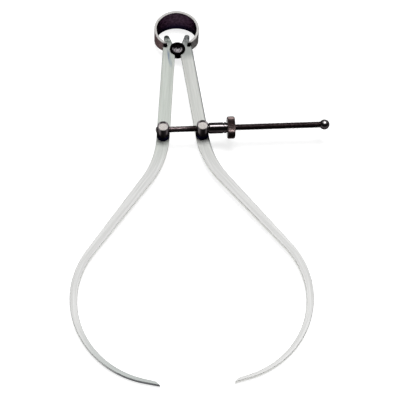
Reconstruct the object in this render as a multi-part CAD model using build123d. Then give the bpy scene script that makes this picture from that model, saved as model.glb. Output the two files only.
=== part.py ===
from build123d import *
import math
import os

# Outside caliper with a bow spring and a screw adjustment, lying on its back. Millimetres.
# +X points to the right, from the screw's head to its ball. +Y points from the measuring tips to the bow.
# +Z points out of the front face. The origin is the middle of the fulcrum roller's back face,
# and the fulcrum axis is the Z axis. The legs stand open as they are drawn at rest.

# Opening of the legs
rest_spread_deg = 5.15  # how far each leg has swung out from where the tips meet
tip_gap = 0.2  # left between the two points when the caliper is closed

# Leg outline, along its middle line from the fulcrum to the tip
leg_thickness = 2.4
shank_offset = 4.8  # from the fulcrum axis to the middle line of the straight shank
shank_width = 7.1
shank_length = 60.5
bend_radius = 51.0
bend_deg = 30.4
arm_length = 52.0
arm_start_width = 6.1
arm_end_width = 4.3
sweep_radius = 45.4
sweep_deg = 111.2
sweep_width = 3.4
nose_length = 6.6
nose_start_width = 2.3
nose_width = 2.0
nose_relief = 0.55  # taken off the inner side, all along the nose
sweep_relief = 0.12  # taken off the inner side at the middle of the sweep
tip_cut_deg = 30.0
leg_edge_radius = 0.25

# Head of the leg, above the fulcrum: a neck and an ear that leans outward
shoulder_height = 1.8
ear_base_x = -4.9
ear_base_y = 3.2
ear_base_radius = 2.0
ear_tip_x = -6.6
ear_tip_y = 7.9
ear_tip_radius = 1.5

# Fulcrum roller
roller_core_d = 6.0
roller_flange_d = 8.8
roller_flange_thickness = 0.85
roller_edge_chamfer = 0.25
roller_dish_d = 6.2
roller_dish_depth = 0.3
roller_centre_d = 1.6
roller_centre_depth = 0.9

# Bow spring: an oval strip, widest at its crown
bow_inner_width = 22.6
bow_inner_length = 19.5
bow_wall = 1.4
bow_centre_y = 11.15
bow_gap_deg = 29.4  # half the opening between its ends, seen from the middle of the arcs they lie on
bow_crown_height = 15.2
bow_end_height = 7.0
bow_edge_radius = 0.2

# Posts, which swivel in the legs and carry the screw
post_distance = 58.6  # down the shank from the fulcrum
post_d = 6.2
post_height = 10.1
post_edge_radius = 0.6
post_collar_d = 7.0
post_collar_height = 2.6
post_shank_d = 4.0
post_rivet_d = 5.6
post_rivet_height = 0.7
post_seat_depth = 0.55
washer_d = 6.6
washer_thickness = 0.6

# Adjusting screw, its head at the left and its ball at the right
screw_d = 3.5
screw_drop = 3.95  # from the top of the posts to the screw's axis
screw_head_d = 4.1
screw_head_thickness = 1.5
screw_reach = 87.4  # from the left post's axis to the middle of the ball
ball_d = 5.5
spigot_d = 1.8
spigot_depth = 3.0

# Adjusting nut
nut_nose_d = 4.2
nut_hub_d = 6.0
nut_hub_length = 7.9
nut_hub_round = 0.8
nut_neck_d = 5.2  # between the hub, the ring and the knob
nut_groove_width = 0.5
nut_ring_d = 6.0
nut_ring_length = 1.1
nut_ring_chamfer = 0.2
nut_neck_length = 0.6
nut_knob_d = 12.0
nut_knob_thickness = 4.1
nut_knob_chamfer = 0.5
knurl_count = 48
knurl_depth = 0.36

# Clearances
face_clearance = 0.05  # between faces that turn on each other
pivot_clearance = 0.05  # round the roller's core and the posts' shanks, on the radius
fit_clearance = 0.02  # round what is pressed together, on the radius
screw_clearance = 0.12  # round the screw in the right post, on the radius
thread_clearance = 0.05  # round the screw in the nut, on the radius
notch_clearance = 0.25  # round the bow's end in the leg's notch

# Levels along Z
leg_back = roller_flange_thickness + face_clearance
leg_front = leg_back + leg_thickness
leg_middle = (leg_back + leg_front) / 2
roller_front = leg_front + face_clearance + roller_flange_thickness
post_top = leg_front + post_height
screw_z = post_top - screw_drop
washer_front = leg_back - face_clearance
washer_back = washer_front - washer_thickness


def turned(point, degrees):
    """A point turned about the fulcrum axis, counterclockwise seen from the front."""
    c, s = math.cos(math.radians(degrees)), math.sin(math.radians(degrees))
    return (point[0] * c - point[1] * s, point[0] * s + point[1] * c)


def heading(degrees):
    """The unit direction down a left leg, turned outward from -Y by an angle."""
    return (-math.sin(math.radians(degrees)), -math.cos(math.radians(degrees)))


def beside(point, degrees, distance):
    """A point to the outer side of a place on a left leg's middle line with that heading."""
    return (
        point[0] - distance * math.cos(math.radians(degrees)),
        point[1] + distance * math.sin(math.radians(degrees)),
    )


def ahead(point, degrees, distance):
    """A point further along a heading."""
    d = heading(degrees)
    return (point[0] + distance * d[0], point[1] + distance * d[1])


def crossing(a, b, c, d):
    """Where the line through a and b meets the line through c and d."""
    u, v = (b[0] - a[0], b[1] - a[1]), (d[0] - c[0], d[1] - c[1])
    t = ((c[0] - a[0]) * v[1] - (c[1] - a[1]) * v[0]) / (u[0] * v[1] - u[1] * v[0])
    return (a[0] + t * u[0], a[1] + t * u[1])


def corner_radius(before, corner, after, middle):
    """Radius of the arc that rounds a corner and passes as close to it as the middle point is."""
    turn = math.radians(
        math.degrees(math.atan2(after[1] - corner[1], after[0] - corner[0]))
        - math.degrees(math.atan2(corner[1] - before[1], corner[0] - before[0]))
    )
    return math.dist(corner, middle) / (1 / math.cos(turn / 2) - 1)


# Stations on the middle line of a left leg, in the leg's own frame, where its shank runs along -Y
arm_heading = bend_deg
nose_heading = bend_deg - sweep_deg
bend_reach = bend_radius * math.tan(math.radians(bend_deg / 2))
sweep_reach = sweep_radius * math.tan(math.radians(sweep_deg / 2))
shank_start = (-shank_offset, 0.0)
shank_end = ahead(shank_start, 0.0, shank_length)
bend_corner = ahead(shank_end, 0.0, bend_reach)
arm_start = ahead(bend_corner, arm_heading, bend_reach)
arm_end = ahead(arm_start, arm_heading, arm_length)
sweep_corner = ahead(arm_end, arm_heading, sweep_reach)
nose_start = ahead(sweep_corner, nose_heading, sweep_reach)
nose_end = ahead(nose_start, nose_heading, nose_length)
bend_middle = beside(shank_end, 0.0, bend_radius)
bend_middle = beside(bend_middle, bend_deg / 2, -bend_radius)
sweep_middle = beside(arm_end, arm_heading, -sweep_radius)
sweep_middle = beside(sweep_middle, (arm_heading + nose_heading) / 2, sweep_radius)


def leg_side(side):
    """One long edge of the leg, from its shoulder to its tip: side is 1 outside and -1 inside."""
    inner = 1 if side < 0 else 0

    def edge(point, degrees, width, relief=0.0):
        return beside(point, degrees, side * (width / 2 - inner * relief))

    top = edge(ahead(shank_start, 0.0, -shoulder_height), 0.0, shank_width)
    shank = edge(shank_end, 0.0, shank_width)
    arm = edge(arm_start, arm_heading, arm_start_width), edge(arm_end, arm_heading, arm_end_width)
    nose_top = edge(nose_start, nose_heading, nose_start_width, nose_relief)
    nose_low = edge(nose_end, nose_heading, nose_width, nose_relief)
    reach = (nose_width / 2 - inner * nose_relief) / math.tan(math.radians(tip_cut_deg))
    end = ahead(nose_low, nose_heading, side * reach)
    bend = crossing(top, shank, *arm)
    sweep = crossing(*arm, nose_top, nose_low)
    bend_edge = edge(bend_middle, bend_deg / 2, (shank_width + arm_start_width) / 2)
    sweep_edge = edge(sweep_middle, (arm_heading + nose_heading) / 2, sweep_width, sweep_relief)
    radii = [corner_radius(top, bend, sweep, bend_edge), corner_radius(bend, sweep, end, sweep_edge)]
    return top, end, FilletPolyline(top, bend, sweep, end, radius=radii)


tip_point = leg_side(1)[1]
closed_turn = math.degrees(
    math.atan2(tip_point[0], -tip_point[1]) + math.asin(tip_gap / 2 / math.hypot(*tip_point))
)
rest_turn = -(closed_turn + rest_spread_deg)
post_place = turned(ahead(shank_start, 0.0, post_distance), rest_turn)
right_post_x = -post_place[0]
post_y = post_place[1]

# The bow's middle line is an oval of arcs that meet at 45 degrees to the axes
bow_across = (bow_inner_width + bow_wall) / 2
bow_along = (bow_inner_length + bow_wall) / 2
bow_shift = (bow_across - bow_along) / (2 - math.sqrt(2))
bow_side_radius = bow_across - bow_shift
bow_crown_radius = bow_along + bow_shift
bow_end = (
    -bow_crown_radius * math.sin(math.radians(bow_gap_deg)),
    bow_centre_y + bow_shift - bow_crown_radius * math.cos(math.radians(bow_gap_deg)),
)


def flat_plate(face, rounded):
    """A face made as thick as the legs, with the chosen edges of both its rims rounded."""
    plate = Pos(0, 0, leg_back) * extrude(face, leg_thickness)
    rims = plate.edges().filter_by(lambda e: abs(e.center().Z - leg_middle) > leg_thickness / 3)
    return fillet(rims.filter_by(rounded), leg_edge_radius)


def left_leg():
    """A flat leg with its roller recess, bow notch, ear, post hole and obliquely cut tip."""
    outer_top, outer_end, outer = leg_side(1)
    inner_top, inner_end, inner = leg_side(-1)
    tip_cut, shoulder = Line(outer_end, inner_end), Line(outer_top, inner_top)
    blade = make_face(outer.edges() + inner.edges() + tip_cut.edges() + shoulder.edges())
    blade = flat_plate(blade, lambda e: e.center().Y < 0)
    ear = make_hull(
        (Pos(ear_base_x, ear_base_y) * Circle(ear_base_radius)).edges()
        + (Pos(ear_tip_x, ear_tip_y) * Circle(ear_tip_radius)).edges()
    )
    leg = Rot(0, 0, rest_turn) * (blade + flat_plate(ear, lambda e: True))
    notch_radius = bow_wall / 2 + notch_clearance
    slot = Circle(notch_radius) + Pos(-shank_width / 2, 0) * Rectangle(shank_width, 2 * notch_radius)
    cuts = [
        Circle(roller_core_d / 2 + pivot_clearance),
        Pos(*bow_end) * Rot(0, 0, -bow_gap_deg) * slot,
        Pos(*post_place) * Circle(post_shank_d / 2 + pivot_clearance),
    ]
    for cut in cuts:
        leg -= extrude(cut, 2 * roller_front)
    return leg


def fulcrum_roller():
    """A turned spool: a core between two flanges, the front one dished."""
    core = Cylinder(roller_core_d / 2, roller_front, align=(Align.CENTER, Align.CENTER, Align.MIN))
    flange = Cylinder(
        roller_flange_d / 2, roller_flange_thickness, align=(Align.CENTER, Align.CENTER, Align.MIN)
    )
    flange = chamfer(flange.edges(), roller_edge_chamfer)
    dish = Cone(
        roller_dish_d / 2 - roller_dish_depth,
        roller_dish_d / 2,
        roller_dish_depth,
        align=(Align.CENTER, Align.CENTER, Align.MAX),
    )
    centre = Cone(
        0,
        roller_centre_d / 2,
        roller_centre_depth,
        align=(Align.CENTER, Align.CENTER, Align.MAX),
    )
    roller = core + flange + Pos(0, 0, roller_front - roller_flange_thickness) * flange
    return roller - Pos(0, 0, roller_front) * dish - Pos(0, 0, roller_front) * centre


def bow_spring():
    """An oval strip, open between the legs, that narrows from its crown to its rounded ends."""
    low, high = bow_centre_y + bow_shift, bow_centre_y - bow_shift
    reach = 45 - bow_gap_deg
    middle = [
        CenterArc((0, low), bow_crown_radius, 225 + reach, -reach),
        CenterArc((-bow_shift, bow_centre_y), bow_side_radius, 225, -90),
        CenterArc((0, high), bow_crown_radius, 135, -90),
        CenterArc((bow_shift, bow_centre_y), bow_side_radius, 45, -90),
        CenterArc((0, low), bow_crown_radius, -45, -reach),
    ]
    outline = offset(Wire([arc.edge() for arc in middle]), bow_wall / 2, kind=Kind.ARC)
    strip = Pos(0, 0, leg_middle - bow_crown_height / 2) * extrude(make_face(outline), bow_crown_height)
    crown_y = bow_centre_y + bow_along + bow_wall / 2
    end_y = bow_end[1] - bow_wall / 2
    side = Polyline(
        (crown_y, bow_crown_height / 2),
        (crown_y, -bow_crown_height / 2),
        (end_y, -bow_end_height / 2),
        (end_y, bow_end_height / 2),
        close=True,
    )
    upright = Plane(origin=(0, 0, leg_middle), x_dir=(0, 1, 0), z_dir=(1, 0, 0))
    bow = strip & extrude(upright * make_face(side), bow_inner_width, both=True)
    rims = bow.faces().filter_by(lambda f: abs(f.normal_at().Z) > 0.9).edges()
    return fillet(rims, bow_edge_radius)


def post(centre_x, hole_radius, outward):
    """A turned post with a collar, riveted over behind the leg and drilled for the screw."""
    low = (Align.CENTER, Align.CENTER, Align.MIN)
    foot = leg_front + face_clearance
    column = Cylinder(post_d / 2, post_top - foot, align=low)
    column = fillet(column.edges().sort_by(Axis.Z)[-1], post_edge_radius)
    body = Pos(0, 0, foot) * column + Pos(0, 0, foot) * Cylinder(
        post_collar_d / 2, post_collar_height, align=low
    )
    rivet = Cylinder(post_rivet_d / 2, post_rivet_height, align=low)
    rivet = fillet(rivet.edges().sort_by(Axis.Z)[0], post_rivet_height * 0.8)
    body += Pos(0, 0, washer_back) * Cylinder(post_shank_d / 2, foot - washer_back, align=low)
    body += Pos(0, 0, washer_back - post_rivet_height) * rivet
    across = Rot(0, 90, 0)
    body -= Pos(0, 0, screw_z) * across * Cylinder(hole_radius, 2 * post_d)
    seat = Cylinder(screw_head_d / 2 + face_clearance, post_d, align=low)
    body -= Pos(outward * (post_d / 2 - post_seat_depth), 0, screw_z) * Rot(0, outward * 90, 0) * seat
    return Pos(centre_x, post_y, 0) * body


def post_washer(centre_x):
    """The plain washer between a leg's back and the riveted end of its post."""
    low = (Align.CENTER, Align.CENTER, Align.MIN)
    ring = Cylinder(washer_d / 2, washer_thickness, align=low)
    ring -= Cylinder(post_shank_d / 2 + fit_clearance, washer_thickness, align=low)
    return Pos(centre_x, post_y, washer_back) * ring


def turned_along_x(profile):
    """A piece turned about the screw's axis, from half its outline given as (x, radius) points."""
    face = Plane.XZ * make_face(Polyline(*profile, close=True))
    return Pos(0, post_y, screw_z) * revolve(face, Axis.X)


head_seat_x = -right_post_x - post_d / 2 + post_seat_depth
ball_x = -right_post_x + screw_reach
rod_end_x = ball_x - math.sqrt((ball_d / 2) ** 2 - (screw_d / 2) ** 2)


def adjusting_screw():
    """A long rod with a low head at its left end and a spigot for the ball at its right end."""
    r, spigot = screw_d / 2, spigot_d / 2
    rod = turned_along_x(
        [
            (head_seat_x, 0),
            (head_seat_x, r),
            (rod_end_x, r),
            (rod_end_x, spigot),
            (rod_end_x + spigot_depth, spigot),
            (rod_end_x + spigot_depth, 0),
        ]
    )
    low = (Align.CENTER, Align.CENTER, Align.MIN)
    head = Cylinder(screw_head_d / 2, screw_head_thickness, align=low)
    head = fillet(head.edges().sort_by(Axis.Z)[-1], screw_head_thickness * 0.7)
    return rod + Pos(head_seat_x, post_y, screw_z) * Rot(0, -90, 0) * head


def end_ball():
    """A ball with a flat and a blind hole, pressed on the screw's spigot."""
    ball = Sphere(ball_d / 2) & Pos(rod_end_x - ball_x, 0, 0) * Box(
        2 * ball_d, 2 * ball_d, 2 * ball_d, align=(Align.MIN, Align.CENTER, Align.CENTER)
    )
    hole = Cylinder(
        spigot_d / 2 + fit_clearance,
        spigot_depth + fit_clearance,
        align=(Align.CENTER, Align.CENTER, Align.MIN),
    )
    ball -= Pos(rod_end_x - ball_x, 0, 0) * Rot(0, 90, 0) * hole
    return Pos(ball_x, post_y, screw_z) * ball


nut_start_x = right_post_x + post_d / 2 - post_seat_depth + face_clearance
hub_start_x = right_post_x + post_d / 2 + 2 * face_clearance
hub_end_x = hub_start_x + nut_hub_length
ring_start_x = hub_end_x + nut_groove_width
ring_end_x = ring_start_x + nut_ring_length
knob_start_x = ring_end_x + nut_neck_length
knob_end_x = knob_start_x + nut_knob_thickness


def adjusting_nut():
    """A hub whose nose turns in the right post's seat, then a ring and a straight-knurled knob."""
    bore = screw_d / 2 + thread_clearance
    hub, neck, ring, knob = nut_hub_d / 2, nut_neck_d / 2, nut_ring_d / 2, nut_knob_d / 2
    body = turned_along_x(
        [
            (nut_start_x, bore),
            (nut_start_x, nut_nose_d / 2),
            (hub_start_x, nut_nose_d / 2),
            (hub_start_x, hub - nut_hub_round),
            (hub_start_x + nut_hub_round * 0.3, hub - nut_hub_round * 0.3),
            (hub_start_x + nut_hub_round, hub),
            (hub_end_x, hub),
            (hub_end_x, neck),
            (ring_start_x, neck),
            (ring_start_x, ring - nut_ring_chamfer),
            (ring_start_x + nut_ring_chamfer, ring),
            (ring_end_x - nut_ring_chamfer, ring),
            (ring_end_x, ring - nut_ring_chamfer),
            (ring_end_x, neck),
            (knob_start_x, neck),
            (knob_start_x, knob - nut_knob_chamfer),
            (knob_start_x + nut_knob_chamfer, knob),
            (knob_end_x - nut_knob_chamfer, knob),
            (knob_end_x, knob - nut_knob_chamfer),
            (knob_end_x, bore),
        ]
    )
    teeth = []
    for i in range(2 * knurl_count):
        radius = knob if i % 2 == 0 else knob - knurl_depth
        angle = math.pi * i / knurl_count
        teeth.append((radius * math.cos(angle), radius * math.sin(angle)))
    star = make_face(Polyline(*teeth, close=True))
    sleeve = extrude(star, knob_end_x - nut_start_x)
    knurl = Pos(nut_start_x, post_y, screw_z) * Rot(0, 90, 0) * sleeve
    return body & knurl


right_side = Plane.YZ
pieces = {
    "fulcrum_roller": fulcrum_roller(),
    "bow_spring": bow_spring(),
    "left_leg": left_leg(),
    "right_leg": mirror(left_leg(), about=right_side),
    "left_post": post(-right_post_x, screw_d / 2 + fit_clearance, -1),
    "right_post": post(right_post_x, screw_d / 2 + screw_clearance, 1),
    "left_post_washer": post_washer(-right_post_x),
    "right_post_washer": post_washer(right_post_x),
    "adjusting_screw": adjusting_screw(),
    "end_ball": end_ball(),
    "adjusting_nut": adjusting_nut(),
}

os.makedirs("parts", exist_ok=True)
for name, piece in pieces.items():
    export_step(piece, f"parts/{name}.step")
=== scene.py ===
import math

import bmesh
import bpy
import numpy as np
from mathutils import Matrix, Vector


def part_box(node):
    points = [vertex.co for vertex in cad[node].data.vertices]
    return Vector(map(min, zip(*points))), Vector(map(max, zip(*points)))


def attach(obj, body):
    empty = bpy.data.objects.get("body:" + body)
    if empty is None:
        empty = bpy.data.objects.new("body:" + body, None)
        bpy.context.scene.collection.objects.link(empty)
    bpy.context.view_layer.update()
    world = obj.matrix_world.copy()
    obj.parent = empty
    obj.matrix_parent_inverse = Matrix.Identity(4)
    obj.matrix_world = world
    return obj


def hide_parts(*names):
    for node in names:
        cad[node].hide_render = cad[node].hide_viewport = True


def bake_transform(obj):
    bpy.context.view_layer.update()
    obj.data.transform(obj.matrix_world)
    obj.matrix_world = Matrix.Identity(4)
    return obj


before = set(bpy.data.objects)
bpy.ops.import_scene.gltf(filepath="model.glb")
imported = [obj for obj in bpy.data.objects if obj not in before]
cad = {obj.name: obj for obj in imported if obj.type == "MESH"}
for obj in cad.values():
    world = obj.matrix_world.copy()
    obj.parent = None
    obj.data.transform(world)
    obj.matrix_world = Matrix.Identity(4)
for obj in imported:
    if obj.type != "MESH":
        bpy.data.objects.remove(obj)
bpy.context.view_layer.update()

# The photograph's view: the caliper lies on its back and is seen from the tips' side, about 60 degrees above
# the table, through a long lens. The camera's turn comes from its own right and up directions.
MM = 0.001
eye = Vector((-27.04, -408.18, 552.88)) * MM
right = Vector((0.99790, -0.05765, 0.02949))
up = Vector((0.03570, 0.86973, 0.49224))
camera = bpy.data.objects.new("camera", bpy.data.cameras.new("camera"))
camera.data.sensor_width = 36
camera.data.lens = 108
camera.data.clip_start = 0.01
turn = Matrix((right, up, right.cross(up))).transposed().to_4x4()
camera.matrix_world = Matrix.Translation(eye) @ turn
bpy.context.scene.collection.objects.link(camera)
bpy.context.scene.camera = camera
bpy.context.scene.view_settings.view_transform = "Standard"


# The table top: white laminate with a faint shadow under the tool. The caliper touches it with the bow's
# lower rim and with both tips. The tips are the higher of the two, so the sheet rises a little towards them.
sheet_reach = 3.0
bow_box, leg_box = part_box("bow_spring"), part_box("left_leg")
tip_line = Vector((0, leg_box[0].y, leg_box[0].z))
bow_line = Vector((0, bow_box[1].y, bow_box[0].z))
along = (bow_line - tip_line).normalized() * sheet_reach
across = Vector((sheet_reach, 0, 0))
near_edge, far_edge = tip_line - along, tip_line + along
corners = [near_edge - across, near_edge + across, far_edge + across, far_edge - across]
sheet = bpy.data.meshes.new("table_top")
sheet.from_pydata([c[:] for c in corners], [], [(0, 1, 2, 3)])
table_top = bpy.data.objects.new("table_top", sheet)
bpy.context.scene.collection.objects.link(table_top)


def to_linear(code):
    """An sRGB hex colour as linear red, green, blue and alpha: the sRGB curve, channel by channel."""
    channels = np.array([int(code[i : i + 2], 16) for i in (1, 3, 5)]) / 255
    curve = np.where(channels <= 0.04045, channels / 12.92, ((channels + 0.055) / 1.055) ** 2.4)
    return (*curve.tolist(), 1.0)


def add_node(tree, kind, inputs=(), output=0, **settings):
    """Adds a node with its settings and gives back one of its outputs. An input takes a value, a hex colour
    or another node's output."""
    made = tree.nodes.new(kind)
    for name, value in settings.items():
        setattr(made, name, value)
    for socket, value in dict(inputs).items():
        if isinstance(value, bpy.types.NodeSocket):
            tree.links.new(value, made.inputs[socket])
        else:
            made.inputs[socket].default_value = to_linear(value) if isinstance(value, str) else value
    return made.outputs[output] if made.outputs else None


def new_material(name):
    """A material without any nodes yet, and its node tree."""
    material = bpy.data.materials.new(name)
    material.use_nodes = True
    material.node_tree.nodes.clear()
    return material, material.node_tree


# White laminate, smooth and matt. What the camera and the gloss of the object see of it is lifted to white;
# the light that it throws is that of its own pale colour only.
lift_to_white = 0.78
laminate, tree = new_material("white_laminate")
path = add_node(tree, "ShaderNodeLightPath").node.outputs
seen = path["Is Camera Ray"]
for other in ("Is Glossy Ray", "Is Transmission Ray"):
    seen = add_node(tree, "ShaderNodeMath", {0: seen, 1: path[other]}, operation="MAXIMUM")
lift = add_node(tree, "ShaderNodeMath", {0: seen, 1: lift_to_white}, operation="MULTIPLY")
glow = add_node(tree, "ShaderNodeEmission", {"Color": "#ffffff", "Strength": lift})
pale = add_node(tree, "ShaderNodeBsdfDiffuse", {"Color": "#bcbcbc"})
both = add_node(tree, "ShaderNodeAddShader", {0: pale, 1: glow})
add_node(tree, "ShaderNodeOutputMaterial", {"Surface": both})
sheet.materials.append(laminate)

# The room: one light box above the bow's side of the table, and grey walls that are darker behind the camera,
# so that gloss black steel stays black with a bright line along it.
lamp_height = math.radians(74)
lamp_aside = 0.06
lamp_distance = 1.6
tool_middle = Vector((0, -0.12, 0))
dim_wall, light_wall = 0.12, 0.26
to_lamp = Vector((lamp_aside, math.cos(lamp_height), math.sin(lamp_height))).normalized()
lamp = bpy.data.lights.new("light_box", "AREA")
lamp.shape = "RECTANGLE"
lamp.size = 1.00
lamp.size_y = 0.61
lamp.energy = 20.0
light_box = bpy.data.objects.new("light_box", lamp)
light_box.location = tool_middle + lamp_distance * to_lamp
light_box.rotation_euler = to_lamp.to_track_quat("Z", "Y").to_euler()
bpy.context.scene.collection.objects.link(light_box)

room = bpy.data.worlds.new("room")
room.use_nodes = True
tree = room.node_tree
tree.nodes.clear()
direction = add_node(tree, "ShaderNodeTexCoord", (), "Generated")
towards_bow = add_node(tree, "ShaderNodeSeparateXYZ", {0: direction}, "Y")
brightness = {"Value": towards_bow, "From Min": -0.6, "From Max": 0.6}
brightness = {**brightness, "To Min": dim_wall, "To Max": light_wall}
brightness = add_node(tree, "ShaderNodeMapRange", brightness, interpolation_type="SMOOTHSTEP")
walls = add_node(tree, "ShaderNodeBackground", {"Strength": brightness})
add_node(tree, "ShaderNodeOutputWorld", {"Surface": walls})
bpy.context.scene.world = room


# The legs: flat blades of 2.4 mm carbon steel, blanked, bent and drawn out to the tips, then ground along
# their length on both faces. The faces are satin; the narrow sides keep the skin of the drawn steel.
leg_middle_z = (leg_box[0].z + leg_box[1].z) / 2
shank_offset = 4.8 * MM
shank_turn = math.radians(5.7)
bend_centre = Vector((61.5, -54.7, 0)) * MM
bend_radius = 51.0 * MM
arm_turn = math.radians(36.1)
arm_start = Vector((20.33, -84.71, 0)) * MM
sweep_centre = Vector((14.3, -153.5, 0)) * MM
sweep_radius = 45.4 * MM
shank_top_y, bend_top_y, arm_top_y, sweep_top_y = 20 * MM, -59.7 * MM, -84.7 * MM, -126.7 * MM
notch_place = Vector((6.4, 2.4, 0)) * MM
line_spacing, band_spacing, streak_spacing, cloud_size = 0.35 * MM, 1.4 * MM, 0.8 * MM, 1.5 * MM
drawn_out = 0.03
streak_slant = -0.18


# Carbon steel ground with a fine belt. The belt leaves lines along the blade, drawn here 0.35 mm apart so
# that they show, in wide faint bands. That gives the eye a satin face with a soft grain down the leg. The
# shanks are painted a little darker, as painted shade, and the left one has a green cast.
ground_steel, tree = new_material("belt_ground_carbon_steel")
place = add_node(tree, "ShaderNodeTexCoord", (), "Object")
x, y, z = add_node(tree, "ShaderNodeSeparateXYZ", {0: place}).node.outputs
mirrored_x = add_node(tree, "ShaderNodeMath", {0: x}, operation="ABSOLUTE")
plan = add_node(tree, "ShaderNodeCombineXYZ", {"X": mirrored_x, "Y": y})

# Each stretch of the blade's middle line is a straight line or an arc. The distance to its outer side is
# taken from the line's normal or from the arc's centre, and one stretch follows the other down the leg.
arm_distance = arm_start.x * math.cos(arm_turn) + arm_start.y * math.sin(arm_turn)
stretches = (
    ("DOT_PRODUCT", (math.cos(shank_turn), math.sin(shank_turn), 0), shank_offset, 1.0, shank_top_y),
    ("DISTANCE", bend_centre, bend_radius, -1.0, bend_top_y),
    ("DOT_PRODUCT", (math.cos(arm_turn), math.sin(arm_turn), 0), arm_distance, 1.0, arm_top_y),
    ("DISTANCE", sweep_centre, sweep_radius, 1.0, sweep_top_y),
)
offset = mirrored_x
for measure, point, middle, sign, top_y in stretches:
    reach = add_node(tree, "ShaderNodeVectorMath", {0: plan, 1: point}, "Value", operation=measure)
    reach = add_node(tree, "ShaderNodeMath", {0: reach, 1: sign, 2: -sign * middle}, operation="MULTIPLY_ADD")
    past = {"Value": y, "From Min": top_y + MM, "From Max": top_y - MM}
    past = add_node(tree, "ShaderNodeMapRange", past)
    offset = add_node(tree, "ShaderNodeMix", {0: past, 2: offset, 3: reach})

# The belt's lines and bands are noise in the blade's own directions, drawn out along it.
line_y = add_node(tree, "ShaderNodeMath", {0: y, 1: drawn_out}, operation="MULTIPLY")
line_place = add_node(tree, "ShaderNodeCombineXYZ", {"X": offset, "Y": line_y})
line_grain = {"Vector": line_place, "Scale": 1 / line_spacing, "Detail": 3.0, "Roughness": 0.6}
belt_lines = add_node(tree, "ShaderNodeTexNoise", line_grain)
bands = add_node(tree, "ShaderNodeTexNoise", {"Vector": line_place, "Scale": 1 / band_spacing, "Detail": 2.0})
both_grains = add_node(tree, "ShaderNodeMath", {0: belt_lines, 1: bands}, operation="ADD")
grain = {"Value": both_grains, "From Min": 0.7, "From Max": 1.3}
grain = add_node(tree, "ShaderNodeMapRange", grain, interpolation_type="SMOOTHSTEP")
arm_face = add_node(tree, "ShaderNodeMix", {0: grain, 6: "#b5b5b4", 7: "#cacac9"}, 2, data_type="RGBA")
left_face = add_node(tree, "ShaderNodeMix", {0: grain, 6: "#a9ada8", 7: "#bdc1bc"}, 2, data_type="RGBA")
right_face = add_node(tree, "ShaderNodeMix", {0: grain, 6: "#b0b1ae", 7: "#c2c3c0"}, 2, data_type="RGBA")
on_right = add_node(tree, "ShaderNodeMath", {0: x, 1: 0.0}, operation="GREATER_THAN")
shank_face = add_node(tree, "ShaderNodeMix", {0: on_right, 6: left_face, 7: right_face}, 2, data_type="RGBA")
# Painted shade: the shanks are darker than the arms.
shank_shade = {"Value": y, "From Min": -84 * MM, "From Max": -54 * MM}
shank_shade = add_node(tree, "ShaderNodeMapRange", shank_shade, interpolation_type="SMOOTHSTEP")
face = add_node(tree, "ShaderNodeMix", {0: shank_shade, 6: arm_face, 7: shank_face}, 2, data_type="RGBA")

# Beside the roller the face is painted darker, as painted shade, most of all on the right leg.
roller_shade_share = add_node(tree, "ShaderNodeMapRange", {"Value": on_right, "To Min": 0.2, "To Max": 0.7})
dull_and_shade = {"Value": y, "From Min": -8.0 * MM, "From Max": -3.5 * MM, "To Max": roller_shade_share}
dull_and_shade = add_node(tree, "ShaderNodeMapRange", dull_and_shade)
face = add_node(tree, "ShaderNodeMix", {0: dull_and_shade, 6: face, 7: "#8b8f8d"}, 2, data_type="RGBA")

# The ears above the roller, under the bow, carry painted shade in small clouds, green-grey on the left and
# blue-grey on the right. The left ear's tip is painted darker still, the right one's a little.
clouds = add_node(tree, "ShaderNodeTexNoise", {"Vector": place, "Scale": 1 / cloud_size, "Detail": 4.0})
clouds = {"Value": clouds, "From Min": 0.35, "From Max": 0.65, "To Min": 0.15, "To Max": 1.0}
clouds = add_node(tree, "ShaderNodeMapRange", clouds)
ear_shade_colour = add_node(tree, "ShaderNodeMix", {0: on_right, 6: "#4c5552", 7: "#3c3c42"}, 2, data_type="RGBA")
ear_shade = {"Value": y, "From Min": 1.0 * MM, "From Max": 6.5 * MM, "To Max": clouds}
ear_shade = add_node(tree, "ShaderNodeMapRange", ear_shade)
face = add_node(tree, "ShaderNodeMix", {0: ear_shade, 6: face, 7: ear_shade_colour}, 2, data_type="RGBA")
ear_tip_shade_share = add_node(tree, "ShaderNodeMapRange", {"Value": on_right, "To Min": 1.0, "To Max": 0.2})
ear_tip_shade = {"Value": y, "From Min": 7.0 * MM, "From Max": 8.4 * MM, "To Max": ear_tip_shade_share}
ear_tip_shade = add_node(tree, "ShaderNodeMapRange", ear_tip_shade)
face = add_node(tree, "ShaderNodeMix", {0: ear_tip_shade, 6: face, 7: "#353937"}, 2, data_type="RGBA")

# A faint blue streak runs down the left shank from beside the roller, a little towards its inner side.
slanted = add_node(tree, "ShaderNodeMath", {0: y, 1: streak_slant, 2: offset}, operation="MULTIPLY_ADD")
streak = {"Vector": line_place, "Scale": 1 / streak_spacing, "Detail": 3.0}
streak = add_node(tree, "ShaderNodeTexNoise", streak)
streak = add_node(tree, "ShaderNodeMapRange", {"Value": streak, "From Min": 0.3, "From Max": 0.6})
streak_limits = (
    (y, -13.0 * MM, -9.0 * MM),
    (y, 1.0 * MM, -3.0 * MM),
    (slanted, 1.5 * MM, 1.0 * MM),
    (slanted, -0.5 * MM, 0.1 * MM),
    (x, 1 * MM, -1 * MM),
)
for value, start, end in streak_limits:
    inside = {"Value": value, "From Min": start, "From Max": end, "To Max": streak}
    streak = add_node(tree, "ShaderNodeMapRange", inside)
face = add_node(tree, "ShaderNodeMix", {0: streak, 6: face, 7: "#748090"}, 2, data_type="RGBA")
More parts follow.
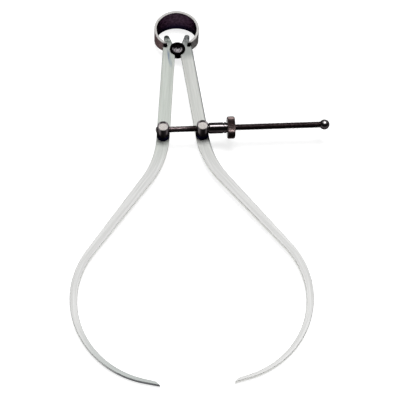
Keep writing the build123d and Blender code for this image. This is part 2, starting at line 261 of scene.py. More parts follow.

# The narrow sides keep the skin of the drawn steel: pale, but darker beside the ears. Near the left tip the
# face and sides are painted darker as painted shade, the side under the tip darkest as a painted shadow. The
# notches, where the bow's ends sit, are painted black as shade; the right shank's outer edge has a painted
# shadow line.
# Painted shade near the left tip, on the face and on the sides.
near_tip = {"Value": y, "From Min": -160 * MM, "From Max": -200 * MM}
near_tip = add_node(tree, "ShaderNodeMapRange", near_tip, interpolation_type="SMOOTHSTEP")
near_left_tip = {"Value": x, "From Min": 1 * MM, "From Max": -1 * MM, "To Max": near_tip}
near_left_tip = add_node(tree, "ShaderNodeMapRange", near_left_tip)
face = add_node(tree, "ShaderNodeMix", {0: near_left_tip, 6: face, 7: "#a6aaa8"}, 2, data_type="RGBA")
side_face = {0: near_left_tip, 6: "#e0e0dd", 7: "#b8b8b8"}
side_face = add_node(tree, "ShaderNodeMix", side_face, 2, data_type="RGBA")
# Painted shadow on the side under the left tip.
left_tip_shadow = {"Value": y, "From Min": -187 * MM, "From Max": -195 * MM, "To Max": near_left_tip}
left_tip_shadow = add_node(tree, "ShaderNodeMapRange", left_tip_shadow)
side_face = add_node(tree, "ShaderNodeMix", {0: left_tip_shadow, 6: side_face, 7: "#626266"}, 2, data_type="RGBA")
beside_ear = add_node(tree, "ShaderNodeMapRange", {"Value": y, "From Min": 2 * MM, "From Max": 4 * MM})
side_face = add_node(tree, "ShaderNodeMix", {0: beside_ear, 6: side_face, 7: "#5e6462"}, 2, data_type="RGBA")
# Painted shade: the sides go black in the notches.
from_notch = {0: plan, 1: notch_place}
from_notch = add_node(tree, "ShaderNodeVectorMath", from_notch, "Value", operation="DISTANCE")
notch_shade = {"Value": from_notch, "From Min": 3.4 * MM, "From Max": 2.6 * MM}
notch_shade = add_node(tree, "ShaderNodeMapRange", notch_shade)
side_face = add_node(tree, "ShaderNodeMix", {0: notch_shade, 6: side_face, 7: "#0b090a"}, 2, data_type="RGBA")
height = add_node(tree, "ShaderNodeMath", {0: z, 1: leg_middle_z}, operation="SUBTRACT")
height = add_node(tree, "ShaderNodeMath", {0: height}, operation="ABSOLUTE")
on_face = add_node(tree, "ShaderNodeMapRange", {"Value": height, "From Min": 1.0 * MM, "From Max": 1.17 * MM})
colour = add_node(tree, "ShaderNodeMix", {0: on_face, 6: side_face, 7: face}, 2, data_type="RGBA")
# Painted shadow: a dark line along the right shank's outer edge.
on_shank = {"Value": y, "From Min": -80 * MM, "From Max": -60 * MM, "To Max": on_right}
on_shank = add_node(tree, "ShaderNodeMapRange", on_shank)
right_edge_shade = {"Value": offset, "From Min": 2.75 * MM, "From Max": 3.25 * MM, "To Max": on_shank}
right_edge_shade = add_node(tree, "ShaderNodeMapRange", right_edge_shade)
colour = add_node(tree, "ShaderNodeMix", {0: right_edge_shade, 6: colour, 7: "#6f7272"}, 2, data_type="RGBA")
roughness = {"Value": belt_lines, "From Min": 0.2, "From Max": 0.8, "To Min": 0.58, "To Max": 0.66}
roughness = add_node(tree, "ShaderNodeMapRange", roughness)
relief = add_node(tree, "ShaderNodeBump", {"Height": belt_lines, "Distance": 0.003 * MM})
steel = {"Base Color": colour, "Metallic": 1.0, "Roughness": roughness, "Normal": relief}
steel = add_node(tree, "ShaderNodeBsdfPrincipled", steel)
add_node(tree, "ShaderNodeOutputMaterial", {"Surface": steel})


def dress(material, *nodes):
    """Puts a material on CAD nodes that show as they are."""
    for node in nodes:
        cad[node].data.materials.clear()
        cad[node].data.materials.append(material)


dress(ground_steel, "left_leg", "right_leg")


# The bow: spring strip 1.4 mm thick, wound hot to an oval and hardened in oil, which leaves it brown-black.
# Its two rims are ground bright. Each half is a piece of its own; its end sits in its leg's notch.
half_wall = 0.7 * MM
oval_across = 12.0 * MM
oval_along = 10.45 * MM
oval_middle_y = 11.15 * MM
gap_turn = math.radians(29.4)
rim_round = 0.2 * MM
crown_half_height = 7.6 * MM
end_half_height = 3.5 * MM
oval_shift = (oval_across - oval_along) / (2 - math.sqrt(2))
side_radius = oval_across - oval_shift
crown_radius = oval_along + oval_shift
crown_y = oval_middle_y + oval_along + half_wall
end_y = oval_middle_y + oval_shift - crown_radius * math.cos(gap_turn) - half_wall
patch_size, gloss_size, scratch_size = 1.3 * MM, 0.9 * MM, 0.35 * MM

# Oil-blacked spring steel: a thin oxide skin over a rolled surface, dark brown-grey, with a dull gloss that
# breaks up in small patches. The inner wall is painted darker and a little violet, as painted shade inside
# the oval, darkest and bluest towards its lower rim; the ends are painted black, as painted shade in the
# notches.
blacked_strip, tree = new_material("oil_blacked_spring_steel")
place = add_node(tree, "ShaderNodeTexCoord", (), "Object")
x, y, z = add_node(tree, "ShaderNodeSeparateXYZ", {0: place}).node.outputs
patches = {"Vector": place, "Scale": 1 / patch_size, "Detail": 4.0, "Roughness": 0.65}
patches = add_node(tree, "ShaderNodeTexNoise", patches)
patches = {"Value": patches, "From Min": 0.3, "From Max": 0.7}
patches = add_node(tree, "ShaderNodeMapRange", patches, interpolation_type="SMOOTHSTEP")
outer_left = add_node(tree, "ShaderNodeMix", {0: patches, 6: "#473b3b", 7: "#6f5f5f"}, 2, data_type="RGBA")
outer_right = add_node(tree, "ShaderNodeMix", {0: patches, 6: "#464443", 7: "#706e6c"}, 2, data_type="RGBA")
on_right = add_node(tree, "ShaderNodeMapRange", {"Value": x, "From Min": -4 * MM, "From Max": 4 * MM})
outer_wall = {0: on_right, 6: outer_left, 7: outer_right}
outer_wall = add_node(tree, "ShaderNodeMix", outer_wall, 2, data_type="RGBA")
# Painted shade: the inner wall is darker than the outer one, and darkest towards its lower rim.
inner_wall = add_node(tree, "ShaderNodeMix", {0: patches, 6: "#251c23", 7: "#483946"}, 2, data_type="RGBA")
stretched = {0: place, 1: (0, -oval_middle_y, 0)}
stretched = add_node(tree, "ShaderNodeVectorMath", stretched, operation="ADD")
stretched = {0: stretched, 1: (1 / oval_across, 1 / oval_along, 0)}
stretched = add_node(tree, "ShaderNodeVectorMath", stretched, operation="MULTIPLY")
from_middle = add_node(tree, "ShaderNodeVectorMath", {0: stretched}, "Value", operation="LENGTH")
outside = add_node(tree, "ShaderNodeMapRange", {"Value": from_middle, "From Min": 0.985, "From Max": 1.015})
low_inner_shade = {"Value": z, "From Min": 1.0 * MM, "From Max": -4.0 * MM}
low_inner_shade = add_node(tree, "ShaderNodeMapRange", low_inner_shade)
inner_wall = add_node(tree, "ShaderNodeMix", {0: low_inner_shade, 6: inner_wall, 7: "#1d1a2a"}, 2, data_type="RGBA")
colour = add_node(tree, "ShaderNodeMix", {0: outside, 6: inner_wall, 7: outer_wall}, 2, data_type="RGBA")
# Painted shade: the strip turns black at its ends, where they sit in the notches.
end_shade = {"Value": y, "From Min": end_y + 1.3 * MM, "From Max": end_y + 0.6 * MM}
end_shade = add_node(tree, "ShaderNodeMapRange", end_shade)
colour = add_node(tree, "ShaderNodeMix", {0: end_shade, 6: colour, 7: "#0b090a"}, 2, data_type="RGBA")
gloss = add_node(tree, "ShaderNodeTexNoise", {"Vector": place, "Scale": 1 / gloss_size})
roughness = {"Value": gloss, "From Min": 0.3, "From Max": 0.7, "To Min": 0.32, "To Max": 0.48}
roughness = add_node(tree, "ShaderNodeMapRange", roughness)
relief = add_node(tree, "ShaderNodeBump", {"Height": patches, "Distance": 0.01 * MM})
edge_tint = add_node(tree, "ShaderNodeMix", {0: outside, 6: "#303030", 7: "#a0a0a0"}, 2, data_type="RGBA")
steel = {"Base Color": colour, "Metallic": 1.0, "Roughness": roughness, "Specular Tint": edge_tint}
steel = add_node(tree, "ShaderNodeBsdfPrincipled", {**steel, "Normal": relief})
add_node(tree, "ShaderNodeOutputMaterial", {"Surface": steel})

# The same steel where the rims were ground after hardening: bright and satin, with short scratches.
ground_rim, tree = new_material("ground_spring_steel_rim")
place = add_node(tree, "ShaderNodeTexCoord", (), "Object")
scratches = {"Vector": place, "Scale": 1 / scratch_size, "Detail": 3.0, "Roughness": 0.7}
scratches = add_node(tree, "ShaderNodeTexNoise", scratches)
scratches = {"Value": scratches, "From Min": 0.3, "From Max": 0.7}
scratches = add_node(tree, "ShaderNodeMapRange", scratches, interpolation_type="SMOOTHSTEP")
colour = add_node(tree, "ShaderNodeMix", {0: scratches, 6: "#a8a6a5", 7: "#c2c0be"}, 2, data_type="RGBA")
y = add_node(tree, "ShaderNodeSeparateXYZ", {0: place}, "Y")
# Painted shade: the ground rims also turn black at the ends, in the notches.
end_shade = {"Value": y, "From Min": end_y + 1.6 * MM, "From Max": end_y + 0.6 * MM}
end_shade = add_node(tree, "ShaderNodeMapRange", end_shade)
colour = add_node(tree, "ShaderNodeMix", {0: end_shade, 6: colour, 7: "#0b090a"}, 2, data_type="RGBA")
roughness = add_node(tree, "ShaderNodeMapRange", {"Value": scratches, "To Min": 0.62, "To Max": 0.72})
relief = add_node(tree, "ShaderNodeBump", {"Height": scratches, "Distance": 0.004 * MM})
steel = {"Base Color": colour, "Metallic": 1.0, "Roughness": roughness, "Normal": relief}
steel = add_node(tree, "ShaderNodeBsdfPrincipled", steel)
add_node(tree, "ShaderNodeOutputMaterial", {"Surface": steel})


weld_distance = 1e-7


def make_piece(name, points, materials, face_materials=None, sharp_angle=35):
    """A closed surface from a grid of points, n along by m around. It is closed around, each end is closed by
    a fan to its middle point, doubles are merged, and edges over the angle stay sharp."""
    n, m = points.shape[:2]
    vertices = np.vstack([points.reshape(-1, 3), points[0].mean(0), points[-1].mean(0)])
    i, j = np.meshgrid(np.arange(n - 1), np.arange(m), indexing="ij")
    beside = (j + 1) % m
    quads = np.stack([i * m + j, i * m + beside, (i + 1) * m + beside, (i + 1) * m + j], -1)
    round_one = np.arange(m)
    next_one = (round_one + 1) % m
    first = np.stack([np.full(m, n * m), next_one, round_one], -1)
    last = np.stack([np.full(m, n * m + 1), (n - 1) * m + round_one, (n - 1) * m + next_one], -1)
    mesh = bpy.data.meshes.new(name)
    mesh.from_pydata(vertices.tolist(), [], quads.reshape(-1, 4).tolist() + first.tolist() + last.tolist())
    for material in materials:
        mesh.materials.append(material)
    if face_materials is not None:
        index = np.concatenate([face_materials.ravel(), np.zeros(2 * m)])
        mesh.polygons.foreach_set("material_index", index.astype(np.int32))
    mesh.polygons.foreach_set("use_smooth", np.ones(len(mesh.polygons), bool))
    work = bmesh.new()
    work.from_mesh(mesh)
    bmesh.ops.remove_doubles(work, verts=work.verts, dist=weld_distance)
    bmesh.ops.recalc_face_normals(work, faces=work.faces)
    work.to_mesh(mesh)
    work.free()
    mesh.set_sharp_from_angle(angle=math.radians(sharp_angle))
    piece = bpy.data.objects.new(name, mesh)
    bpy.context.scene.collection.objects.link(piece)
    return piece


def half_bow(side):
    """One half of the strip. Its middle line runs from the crown through three tangent arcs to the end, where
    the wall closes as a half circle. Round each station goes a rectangle with rounded corners, as thick as
    the wall and as high as the straight taper from crown to end gives at that place. Where arcs meet, only
    the first keeps the shared station."""
    crown_turn, side_turn, end_turn = math.radians(135), math.radians(225), 1.5 * math.pi - gap_turn
    arcs = (
        (0.0, oval_middle_y - oval_shift, crown_radius, np.linspace(math.pi / 2, crown_turn, 28)),
        (-oval_shift, oval_middle_y, side_radius, np.linspace(crown_turn, side_turn, 40)[1:]),
        (0.0, oval_middle_y + oval_shift, crown_radius, np.linspace(side_turn, end_turn, 14)[1:]),
    )
    stations, outward = [], []
    for centre_x, centre_y, radius, angle in arcs:
        ray = np.stack([np.cos(angle), np.sin(angle)], -1)
        stations.append(np.array([centre_x, centre_y]) + radius * ray)
        outward.append(ray)
    middle, outward = np.concatenate(stations), np.concatenate(outward)
    thickness = np.full(len(middle), half_wall)
    closing = np.linspace(0, math.pi / 2, 10)[1:]
    ahead = np.array([-outward[-1, 1], outward[-1, 0]])
    middle = np.vstack([middle, middle[-1] + half_wall * np.sin(closing)[:, None] * ahead])
    outward = np.vstack([outward, np.repeat(outward[-1:], len(closing), 0)])
    thickness = np.append(thickness, half_wall * np.cos(closing))
    corner_points = 5
    turn = np.linspace(0, math.pi / 2, corner_points)
    corner = np.concatenate([turn, turn + math.pi / 2, turn + math.pi, turn + 1.5 * math.pi])
    wide = np.repeat([1.0, -1.0, -1.0, 1.0], corner_points)
    high = np.repeat([1.0, 1.0, -1.0, -1.0], corner_points)
    rounding = np.minimum(rim_round, 0.98 * thickness)[:, None]
    out = wide * (thickness[:, None] - rounding) + rounding * np.cos(corner)
    flat = middle[:, None, :] + out[..., None] * outward[:, None, :]
    share = (flat[..., 1] - end_y) / (crown_y - end_y)
    half_height = end_half_height + share * (crown_half_height - end_half_height)
    z = leg_middle_z + high * (half_height - rounding) + rounding * np.sin(corner)
    points = np.concatenate([flat, z[..., None]], -1)
    points[..., 0] *= -side
    # The ground rims are the faces that look up or down at both of their long edges.
    nudge, steepness = 0.01, 0.35
    one_edge, next_edge = np.sin(corner + nudge), np.sin(np.roll(corner, -1) - nudge)
    ground = (np.abs(one_edge) > steepness) & (np.abs(next_edge) > steepness)
    rims = np.tile(ground.astype(int), (len(points) - 1, 1))
    name = "bow_half_left" if side < 0 else "bow_half_right"
    return make_piece(name, points, [blacked_strip, ground_rim], rims)


for side, leg_body in ((-1, "left_leg_body"), (1, "right_leg_body")):
    bow_half = half_bow(side)
    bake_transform(bow_half)
    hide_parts("bow_spring")


# The roller: a spool turned from bar and blacked. Its flanges keep the legs in one plane; the front one is
# dished, and the near half of the dish carries a painted highlight in grey patches.
roller_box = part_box("fulcrum_roller")
dish_radius = 3.15 * MM
highlight_patch_size, highlight_edge_wander, wander_size, ring_spacing = 0.8 * MM, 3.3 * MM, 1.3 * MM, 0.25 * MM
highlight_patch_squeeze = 0.45

# Blacked steel, turned: nearly black with fine rings from the tool in the dish, and on the dish's near half
# grey matt patches that are a painted highlight.
blacked_roller, tree = new_material("blacked_turned_steel_with_painted_highlight")
place = add_node(tree, "ShaderNodeTexCoord", (), "Object")
x, y, z = add_node(tree, "ShaderNodeSeparateXYZ", {0: place}).node.outputs
plan = add_node(tree, "ShaderNodeCombineXYZ", {"X": x, "Y": y})
radius = add_node(tree, "ShaderNodeVectorMath", {0: plan}, "Value", operation="LENGTH")
in_front = {"Value": z, "From Min": roller_box[1].z - 1.0 * MM, "From Max": roller_box[1].z - 0.9 * MM}
in_front = add_node(tree, "ShaderNodeMapRange", in_front)
in_dish = {"Value": radius, "From Min": dish_radius, "From Max": dish_radius - 0.15 * MM, "To Max": in_front}
in_dish = add_node(tree, "ShaderNodeMapRange", in_dish)
wander = add_node(tree, "ShaderNodeTexNoise", {"Vector": place, "Scale": 1 / wander_size, "Detail": 3.0})
near_half = add_node(tree, "ShaderNodeMath", {0: wander, 1: highlight_edge_wander, 2: y}, operation="MULTIPLY_ADD")
near_half = {"Value": near_half, "From Min": 2.5 * MM, "From Max": 0.9 * MM, "To Max": in_dish}
near_half = add_node(tree, "ShaderNodeMapRange", near_half, interpolation_type="SMOOTHSTEP")
# Painted highlight: grey patches over the near half of the dish.
highlight_patch_place = add_node(tree, "ShaderNodeMapping", {"Vector": place, "Scale": (1.0, highlight_patch_squeeze, 1.0)})
highlight_patches = {"Vector": highlight_patch_place, "Scale": 1 / highlight_patch_size, "Detail": 4.0, "Roughness": 0.7}
highlight_patches = add_node(tree, "ShaderNodeTexNoise", highlight_patches)
painted_dish_highlight = {"Value": highlight_patches, "From Min": 0.36, "From Max": 0.64, "To Max": near_half}
painted_dish_highlight = add_node(tree, "ShaderNodeMapRange", painted_dish_highlight, interpolation_type="SMOOTHSTEP")
colour = add_node(tree, "ShaderNodeMix", {0: painted_dish_highlight, 6: "#0d0b0c", 7: "#aaa5a9"}, 2, data_type="RGBA")
roughness = add_node(tree, "ShaderNodeMapRange", {"Value": painted_dish_highlight, "To Min": 0.24, "To Max": 0.60})
rings = add_node(tree, "ShaderNodeMath", {0: radius, 1: 2 * math.pi / ring_spacing}, operation="MULTIPLY")
rings = add_node(tree, "ShaderNodeMath", {0: rings}, operation="SINE")
rings = add_node(tree, "ShaderNodeMath", {0: rings, 1: in_dish}, operation="MULTIPLY")
relief = add_node(tree, "ShaderNodeBump", {"Height": rings, "Distance": 0.004 * MM})
steel = {"Base Color": colour, "Metallic": 1.0, "Roughness": roughness, "Specular Tint": "#202020"}
steel = add_node(tree, "ShaderNodeBsdfPrincipled", {**steel, "Normal": relief})
add_node(tree, "ShaderNodeOutputMaterial", {"Surface": steel})
dress(blacked_roller, "fulcrum_roller")


# The posts: turned pins with a collar, riveted over a washer behind the legs so that they still swivel. They
# are blacked all over. Their ends were faced off bright afterwards; the bright facing is drawn shifted
# towards the tips, which leaves painted shade as a dark crescent on the far edge.
washer_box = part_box("right_post_washer")
washer_radius = 3.3 * MM
post_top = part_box("left_post")[1].z
post_x = washer_box[1].x - washer_radius
post_y = (washer_box[0].y + washer_box[1].y) / 2
faced_radius = 2.4 * MM
shade_crescent_shift = 1.0 * MM
collar_top = leg_box[1].z + 2.7 * MM
mark_size = 0.4 * MM

# Blacked steel with a faced end: the end is pale satin metal with fine marks of the tool. The black sides
# carry a painted sheen, grey streaks to the left and right below the end, and the collar keeps a blue cast.
faced_post, tree = new_material("blacked_steel_with_faced_end")
place = add_node(tree, "ShaderNodeTexCoord", (), "Object")
x, y, z = add_node(tree, "ShaderNodeSeparateXYZ", {0: place}).node.outputs
mirrored_x = add_node(tree, "ShaderNodeMath", {0: x}, operation="ABSOLUTE")
plan = add_node(tree, "ShaderNodeCombineXYZ", {"X": mirrored_x, "Y": y})
# Painted shade: the bright facing is shifted towards the tips, so the far edge stays dark.
from_facing = {0: plan, 1: (post_x, post_y - shade_crescent_shift, 0)}
from_facing = add_node(tree, "ShaderNodeVectorMath", from_facing, "Value", operation="DISTANCE")
at_top = {"Value": z, "From Min": post_top - 0.3 * MM, "From Max": post_top - 0.15 * MM}
at_top = add_node(tree, "ShaderNodeMapRange", at_top)
faced = {"Value": from_facing, "From Min": faced_radius + 0.08 * MM, "From Max": faced_radius - 0.08 * MM}
faced = add_node(tree, "ShaderNodeMapRange", {**faced, "To Max": at_top})
marks = {"Vector": place, "Scale": 1 / mark_size, "Detail": 3.0, "Roughness": 0.7}
marks = add_node(tree, "ShaderNodeTexNoise", marks)
bright = add_node(tree, "ShaderNodeMapRange", {"Value": marks, "From Min": 0.3, "From Max": 0.7})
bright = add_node(tree, "ShaderNodeMix", {0: bright, 6: "#9c9895", 7: "#dedad6"}, 2, data_type="RGBA")
on_collar = {"Value": z, "From Min": collar_top + 0.1 * MM, "From Max": collar_top - 0.1 * MM}
on_collar = add_node(tree, "ShaderNodeMapRange", on_collar)
aside = add_node(tree, "ShaderNodeMath", {0: mirrored_x, 1: post_x}, operation="SUBTRACT")
aside = add_node(tree, "ShaderNodeMath", {0: aside}, operation="ABSOLUTE")
# Painted sheen: grey streaks on the sides, to the left and right below the end.
painted_sheen = {"Value": z, "From Min": post_top - 6.0 * MM, "From Max": post_top - 3.8 * MM}
painted_sheen = add_node(tree, "ShaderNodeMapRange", painted_sheen)
painted_sheen = {"Value": aside, "From Min": 1.1 * MM, "From Max": 1.9 * MM, "To Max": painted_sheen}
painted_sheen = add_node(tree, "ShaderNodeMapRange", painted_sheen)
dark = add_node(tree, "ShaderNodeMix", {0: painted_sheen, 6: "#2f2c2d", 7: "#767173"}, 2, data_type="RGBA")
dark = add_node(tree, "ShaderNodeMix", {0: on_collar, 6: dark, 7: "#1c1b36"}, 2, data_type="RGBA")
colour = add_node(tree, "ShaderNodeMix", {0: faced, 6: dark, 7: bright}, 2, data_type="RGBA")
roughness = add_node(tree, "ShaderNodeMapRange", {"Value": faced, "To Min": 0.42, "To Max": 0.66})
relief = add_node(tree, "ShaderNodeBump", {"Height": marks, "Distance": 0.004 * MM})
steel = {"Base Color": colour, "Metallic": 1.0, "Roughness": roughness, "Specular Tint": "#505050"}
steel = add_node(tree, "ShaderNodeBsdfPrincipled", {**steel, "Normal": relief})
add_node(tree, "ShaderNodeOutputMaterial", {"Surface": steel})
dress(faced_post, "left_post", "right_post", "left_post_washer", "right_post_washer")


# The screw: 3.5 mm rod with a rolled thread of 0.7 mm pitch from end to end, a low round head at the left
# post, and the ball pressed on its other end. It is blacked in oil, gloss black.
screw_box, ball_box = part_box("adjusting_screw"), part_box("end_ball")
axis_y = (screw_box[0].y + screw_box[1].y) / 2
axis_z = (screw_box[0].z + screw_box[1].z) / 2
screw_radius = 1.75 * MM
head_radius = (screw_box[1].z - screw_box[0].z) / 2
head_thickness = 1.5 * MM
thread_pitch = 0.7 * MM
thread_depth = 0.32 * MM
into_ball = 0.6 * MM
smudge_size, oil_size = 2.2 * MM, 1.5 * MM

# Oil-blacked bright bar: black oxide with a sharp gloss and a faint brown cast, painted darker on the side of
# the tips as painted shade. That gives the eye one bright line along each turned form.
gloss_black, tree = new_material("oil_blacked_bright_steel")
place = add_node(tree, "ShaderNodeTexCoord", (), "Object")
y = add_node(tree, "ShaderNodeSeparateXYZ", {0: place}, "Y")
smudges = add_node(tree, "ShaderNodeTexNoise", {"Vector": place, "Scale": 1 / smudge_size, "Detail": 3.0})
smudges = add_node(tree, "ShaderNodeMapRange", {"Value": smudges, "From Min": 0.3, "From Max": 0.7})
colour = add_node(tree, "ShaderNodeMix", {0: smudges, 6: "#605b5c", 7: "#6c6768"}, 2, data_type="RGBA")
# Painted shade: darker on the side of the tips.
near_side_shade = {"Value": y, "From Min": axis_y - 1.1 * MM, "From Max": axis_y - 1.7 * MM}
near_side_shade = add_node(tree, "ShaderNodeMapRange", near_side_shade)
colour = add_node(tree, "ShaderNodeMix", {0: near_side_shade, 6: colour, 7: "#342f30"}, 2, data_type="RGBA")
roughness = add_node(tree, "ShaderNodeMapRange", {"Value": smudges, "To Min": 0.08, "To Max": 0.13})
steel = {"Base Color": colour, "Metallic": 1.0, "Roughness": roughness, "Specular Tint": "#202020"}
steel = add_node(tree, "ShaderNodeBsdfPrincipled", steel)
add_node(tree, "ShaderNodeOutputMaterial", {"Surface": steel})

# The thread holds oil in its grooves, which dulls it a little, and it is painted darker on the side of the
# tips, as painted shade. The first stretch beside the left post is glossier and painted paler, a painted
# highlight.
oiled_thread, tree = new_material("oiled_black_thread")
place = add_node(tree, "ShaderNodeTexCoord", (), "Object")
x, y, _ = add_node(tree, "ShaderNodeSeparateXYZ", {0: place}).node.outputs
oil = {"Vector": place, "Scale": 1 / oil_size, "Detail": 3.0, "Roughness": 0.6}
oil = add_node(tree, "ShaderNodeTexNoise", oil)
oil = add_node(tree, "ShaderNodeMapRange", {"Value": oil, "From Min": 0.3, "From Max": 0.7})
colour = add_node(tree, "ShaderNodeMix", {0: oil, 6: "#3a3132", 7: "#544849"}, 2, data_type="RGBA")
# Painted highlight: the first stretch beside the left post is paler and glossier.
left_stretch_highlight = {"Value": x, "From Min": 5.0 * MM, "From Max": -2.0 * MM}
left_stretch_highlight = add_node(tree, "ShaderNodeMapRange", left_stretch_highlight, interpolation_type="SMOOTHSTEP")
colour = add_node(tree, "ShaderNodeMix", {0: left_stretch_highlight, 6: colour, 7: "#a29496"}, 2, data_type="RGBA")
# Painted shade: darker on the side of the tips.
near_side_shade = {"Value": y, "From Min": axis_y - 1.0 * MM, "From Max": axis_y - 1.3 * MM}
near_side_shade = add_node(tree, "ShaderNodeMapRange", near_side_shade)
colour = add_node(tree, "ShaderNodeMix", {0: near_side_shade, 6: colour, 7: "#161213"}, 2, data_type="RGBA")
dull_and_shade = add_node(tree, "ShaderNodeMapRange", {"Value": oil, "To Min": 0.30, "To Max": 0.40})
roughness = add_node(tree, "ShaderNodeMapRange", {"Value": left_stretch_highlight, "To Min": dull_and_shade, "To Max": 0.24})
steel = {"Base Color": colour, "Metallic": 1.0, "Roughness": roughness, "Specular Tint": "#202020"}
steel = add_node(tree, "ShaderNodeBsdfPrincipled", steel)
add_node(tree, "ShaderNodeOutputMaterial", {"Surface": steel})


def around_screw(x, radius, turns):
    """Points at places x along the screw's axis and radii about it; both are arrays, n along by m around."""
    return np.stack([x, axis_y + radius * np.cos(turns), axis_z + radius * np.sin(turns)], -1)


def threaded_rod():
    """The head is a quarter ellipse from its pole to its rim and a flat back. The rod's radius is the outer
    one less a triangle wave with flattened tops and roots, moved on by one pitch a turn."""
    sides, rows_a_pitch = 40, 8
    turns = np.linspace(0, 2 * math.pi, sides + 1)[:-1][None, :]
    head_end = screw_box[0].x
    head_back = head_end + head_thickness
    rod_end = ball_box[0].x + into_ball
    dome = np.linspace(0.02, math.pi / 2, 12)
    head_x = np.concatenate([head_end + head_thickness * (1 - np.cos(dome)), [head_back]])
    head_r = np.concatenate([head_radius * np.sin(dome), [screw_radius - thread_depth]])
    rod_x = np.arange(head_back + 0.01 * MM, rod_end, thread_pitch / rows_a_pitch)
    wave = (rod_x[:, None] / thread_pitch - turns / (2 * math.pi)) % 1.0
    groove = thread_depth * np.clip(2 * (1 - np.abs(2 * wave - 1)) - 0.5, 0, 1)
    rod = around_screw(rod_x[:, None] + 0 * turns, screw_radius - groove, turns)
    head = around_screw(head_x[:, None] + 0 * turns, head_r[:, None] + 0 * turns, turns)
    rows = np.zeros(len(head) + len(rod) - 1)
    rows[len(head) :] = 1
    points, on_thread = np.concatenate([head, rod]), np.tile(rows[:, None], (1, turns.size))
    return make_piece("threaded_rod", points, [gloss_black, oiled_thread], on_thread, sharp_angle=50)


rod = threaded_rod()
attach(rod, "left_post_body")
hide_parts("adjusting_screw")

# The ball is a hardened one, polished before it was blacked: a black mirror. Its top is painted paler and a
# little duller, a painted highlight, so the light box shows there as a soft white patch.
polished_ball, tree = new_material("blacked_polished_ball")
place = add_node(tree, "ShaderNodeTexCoord", (), "Object")
z = add_node(tree, "ShaderNodeSeparateXYZ", {0: place}, "Z")
# Painted highlight: the top of the ball is paler.
painted_sheen = {"Value": z, "From Min": axis_z + 2.2 * MM, "From Max": axis_z + 2.5 * MM}
painted_sheen = add_node(tree, "ShaderNodeMapRange", painted_sheen)
colour = add_node(tree, "ShaderNodeMix", {0: painted_sheen, 6: "#3c3839", 7: "#a8a4a4"}, 2, data_type="RGBA")
roughness = add_node(tree, "ShaderNodeMapRange", {"Value": painted_sheen, "To Min": 0.12, "To Max": 0.26})
steel = {"Base Color": colour, "Metallic": 1.0, "Roughness": roughness, "Specular Tint": "#202020"}
steel = add_node(tree, "ShaderNodeBsdfPrincipled", steel)
add_node(tree, "ShaderNodeOutputMaterial", {"Surface": steel})
dress(polished_ball, "end_ball")


# The nut: turned from bar in one piece, a plain hub, a small ring beside it, and a knob with a straight V
# knurl. All of it is blacked in oil, glossy on the hub, and brown with handling on the knob.
nut_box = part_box("adjusting_nut")
knob_radius = (nut_box[1].z - nut_box[0].z) / 2
hub_radius = 3.0 * MM
nose_radius = 2.1 * MM
bore_radius = 1.8 * MM
neck_radius = 2.6 * MM
ring_radius = 3.0 * MM
nose_length, hub_length, groove_width = 0.6 * MM, 7.9 * MM, 0.5 * MM
ring_length, neck_length = 1.1 * MM, 0.6 * MM
hub_start = nut_box[0].x + nose_length
hub_end = hub_start + hub_length
ring_start = hub_end + groove_width
ring_end = ring_start + ring_length
knob_start = ring_end + neck_length
knob_end = nut_box[1].x
hub_round = 0.8 * MM
hub_edge = 0.1 * MM
ring_round = 0.2 * MM
knob_chamfer = 0.5 * MM
knurl_teeth = 48
knurl_depth = 0.36 * MM
dust_size = 1.4 * MM

# Knurled and blacked bar: glossy on the flanks of the teeth, with a brown cast from oil and handling, and
# patches of dust. It is palest on top and painted darker on the far side and the near side, as painted shade.
knurled_black, tree = new_material("knurled_blacked_steel")
place = add_node(tree, "ShaderNodeTexCoord", (), "Object")
_, y, z = add_node(tree, "ShaderNodeSeparateXYZ", {0: place}).node.outputs
dust = add_node(tree, "ShaderNodeTexNoise", {"Vector": place, "Scale": 1 / dust_size, "Detail": 3.0})
dust = add_node(tree, "ShaderNodeMapRange", {"Value": dust, "From Min": 0.35, "From Max": 0.65})
colour = add_node(tree, "ShaderNodeMix", {0: dust, 6: "#655857", 7: "#8a7a78"}, 2, data_type="RGBA")
# Painted shade: darker on the far side.
far_side_shade = {"Value": y, "From Min": axis_y + 1.8 * MM, "From Max": axis_y + 3.0 * MM}
far_side_shade = add_node(tree, "ShaderNodeMapRange", far_side_shade)
colour = add_node(tree, "ShaderNodeMix", {0: far_side_shade, 6: colour, 7: "#453c3b"}, 2, data_type="RGBA")
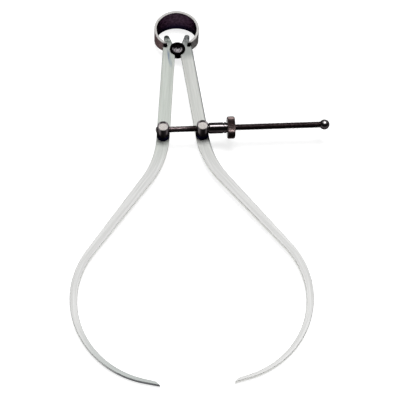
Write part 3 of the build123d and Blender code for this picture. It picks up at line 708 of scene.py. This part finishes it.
# Painted shade: darker on the near side, below the top.
near_side_shade = {"Value": z, "From Min": axis_z + 4.4 * MM, "From Max": axis_z + 3.0 * MM}
near_side_shade = add_node(tree, "ShaderNodeMapRange", near_side_shade)
colour = add_node(tree, "ShaderNodeMix", {0: near_side_shade, 6: colour, 7: "#3a3231"}, 2, data_type="RGBA")
steel = {"Base Color": colour, "Metallic": 1.0, "Roughness": 0.30, "Specular Tint": "#202020"}
steel = add_node(tree, "ShaderNodeBsdfPrincipled", steel)
add_node(tree, "ShaderNodeOutputMaterial", {"Surface": steel})


def knurled_nut():
    """A profile of places and radii, turned about the screw's axis. Over the knob the radius is the smaller
    of the chamfered rim's and of the teeth's, which is the outer one less a triangle wave of the turn."""
    points_a_tooth = 6
    m = knurl_teeth * points_a_tooth
    turns = np.linspace(0, 2 * math.pi, m + 1)[:-1][None, :]
    quarter = np.linspace(0, math.pi / 2, 7)
    small = np.linspace(0, math.pi / 2, 4)
    body_x = np.concatenate(
        [
            [nut_box[0].x, nut_box[0].x, hub_start],
            hub_start + hub_round * (1 - np.cos(quarter)),
            [hub_end - hub_edge, hub_end, hub_end, ring_start],
            ring_start + ring_round * (1 - np.cos(small)),
            ring_end - ring_round * (1 - np.sin(small)),
            [ring_end, knob_start],
        ]
    )
    body_r = np.concatenate(
        [
            [bore_radius, nose_radius, nose_radius],
            hub_radius - hub_round * (1 - np.sin(quarter)),
            [hub_radius, hub_radius - hub_edge, neck_radius, neck_radius],
            ring_radius - ring_round * (1 - np.sin(small)),
            ring_radius - ring_round * (1 - np.cos(small)),
            [neck_radius, neck_radius],
        ]
    )
    cut = np.linspace(0, knob_chamfer, 6)
    knob_x = np.concatenate([knob_start + cut, knob_end - cut[::-1]])
    rim = knob_radius - np.concatenate([cut[::-1], cut])[:, None]
    wave = (knurl_teeth * turns / (2 * math.pi)) % 1.0
    teeth = knob_radius - knurl_depth * np.abs(2 * wave - 1)
    body = around_screw(body_x[:, None] + 0 * turns, body_r[:, None] + 0 * turns, turns)
    knob = around_screw(knob_x[:, None] + 0 * turns, np.minimum(rim, teeth), turns)
    ends = np.array([[knob_end], [nut_box[0].x]])
    bore = around_screw(ends + 0 * turns, bore_radius + 0 * ends + 0 * turns, turns)
    points = np.concatenate([body, knob, bore])
    rows = np.zeros(len(points) - 1)
    rows[len(body) : len(body) + len(knob) - 1] = 1
    return make_piece("knurled_nut", points, [gloss_black, knurled_black], np.tile(rows[:, None], (1, m)))


nut = knurled_nut()
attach(nut, "nut_body")
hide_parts("adjusting_nut")
